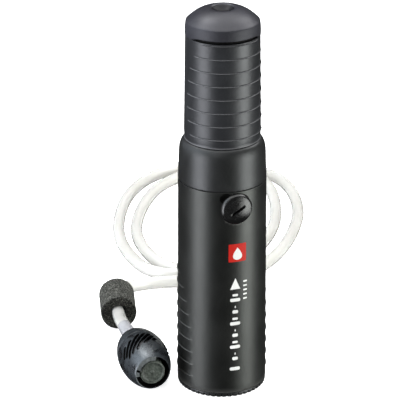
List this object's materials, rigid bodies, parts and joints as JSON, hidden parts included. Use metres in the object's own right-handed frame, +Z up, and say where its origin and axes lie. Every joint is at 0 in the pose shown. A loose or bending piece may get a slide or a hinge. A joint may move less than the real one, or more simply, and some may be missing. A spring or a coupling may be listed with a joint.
{
  "type": "pump water filter",
  "caption": "Hand pump water filter: ribbed round housing with a pull-up pump handle, a coin-slot access plug, and an intake hose with foam float and egg-shaped prefilter.",
  "frame": {"origin": "centre of the foot's flat face, on the pump's long axis", "axes": "+Z up along the pump; -Y is the front, where the access plug is; the nipples and the hose are at the rear, +Y"},
  "size_m": [0.2281, 0.3906, 0.2656],
  "materials": {
    "housing_plastic": "fine-grained matte charcoal moulding",
    "handle_plastic": "matte charcoal, slightly softer than the housing",
    "plug_gloss": "polished black",
    "fitting_plastic": "plain dark moulding",
    "seal_rubber": "smooth black rubber",
    "rod_steel": "turned and brushed",
    "screen_steel": "fine woven screen",
    "candle_ceramic": "unglazed, chalky",
    "carbon": "dull black granulate",
    "valve_ball": "smooth",
    "hose_silicone": "milky translucent silicone",
    "float_foam": "closed-cell foam, speckled grey",
    "prefilter_plastic": "smooth, faintly blue-grey",
    "prefilter_cap_plastic": "speckled grey-green"
  },
  "bodies": {
    "root": {"candle_lower_cap": "fitting_plastic", "candle_oring": "seal_rubber", "candle_upper_cap": "fitting_plastic", "carbon_casing": "fitting_plastic", "carbon_granulate": "carbon", "ceramic_candle": "candle_ceramic", "clean_water_riser": "fitting_plastic", "filter_housing": "housing_plastic", "foot_cap": "housing_plastic", "foot_oring": "seal_rubber", "hose": "hose_silicone", "inlet_nipple": "fitting_plastic", "outlet_nipple": "fitting_plastic", "prefilter_front_shell": "prefilter_plastic", "prefilter_nipple": "fitting_plastic", "prefilter_rear_shell": "prefilter_plastic", "prefilter_screen": "screen_steel", "prefilter_weight": "rod_steel", "pump_barrel": "fitting_plastic", "rod_gland_nut": "fitting_plastic", "rod_guide_bush": "fitting_plastic", "rod_wiper_seal": "seal_rubber", "upper_housing": "housing_plastic", "valve_block": "fitting_plastic", "valve_block_oring": "seal_rubber"},
    "piston": {"piston_rod": "rod_steel", "piston_head": "fitting_plastic", "piston_ring": "seal_rubber", "piston_nut": "rod_steel", "handle_screw": "rod_steel"},
    "handle": {"handle_sleeve": "handle_plastic", "handle_cap": "handle_plastic", "handle_plug": "handle_plastic"},
    "access_plug": {"access_plug": "plug_gloss", "access_plug_oring": "seal_rubber"},
    "inlet_valve_ball": {"inlet_valve_ball": "valve_ball"},
    "delivery_valve_ball": {"delivery_valve_ball": "valve_ball"},
    "prefilter_cap": {"prefilter_cap": "prefilter_cap_plastic"},
    "float": {"float": "float_foam"}
  },
  "joints": [
    {"name": "pump_stroke", "type": "slide", "parent": "root", "child": "piston", "axis": [0, 0, 1], "range_m": [0, 0.068]},
    {"name": "handle_swivel", "type": "hinge", "parent": "piston", "child": "handle", "pos_m": [0, 0, 0.2], "axis": [0, 0, 1], "continuous": true},
    {"name": "access_plug_turn", "type": "hinge", "parent": "root", "child": "access_plug", "pos_m": [0, -0.03, 0.137], "axis": [0, 1, 0], "range_deg": [-90, 0]},
    {"name": "inlet_valve_lift", "type": "slide", "parent": "root", "child": "inlet_valve_ball", "axis": [0, 0, 1], "range_m": [0, 0.0015]},
    {"name": "delivery_valve_lift", "type": "slide", "parent": "root", "child": "delivery_valve_ball", "axis": [0, 0, 1], "range_m": [0, 0.0015]},
    {"name": "prefilter_cap_turn", "type": "hinge", "parent": "root", "child": "prefilter_cap", "pos_m": [-0.0515, 0.0119, 0.017], "axis": [0.0244, 0.9997, 0], "range_deg": [0, 40]},
    {"name": "float_slide", "type": "slide", "parent": "root", "child": "float", "axis": [-0.2305, -0.9731, 0], "range_m": [0, 0.004]}
  ]
}
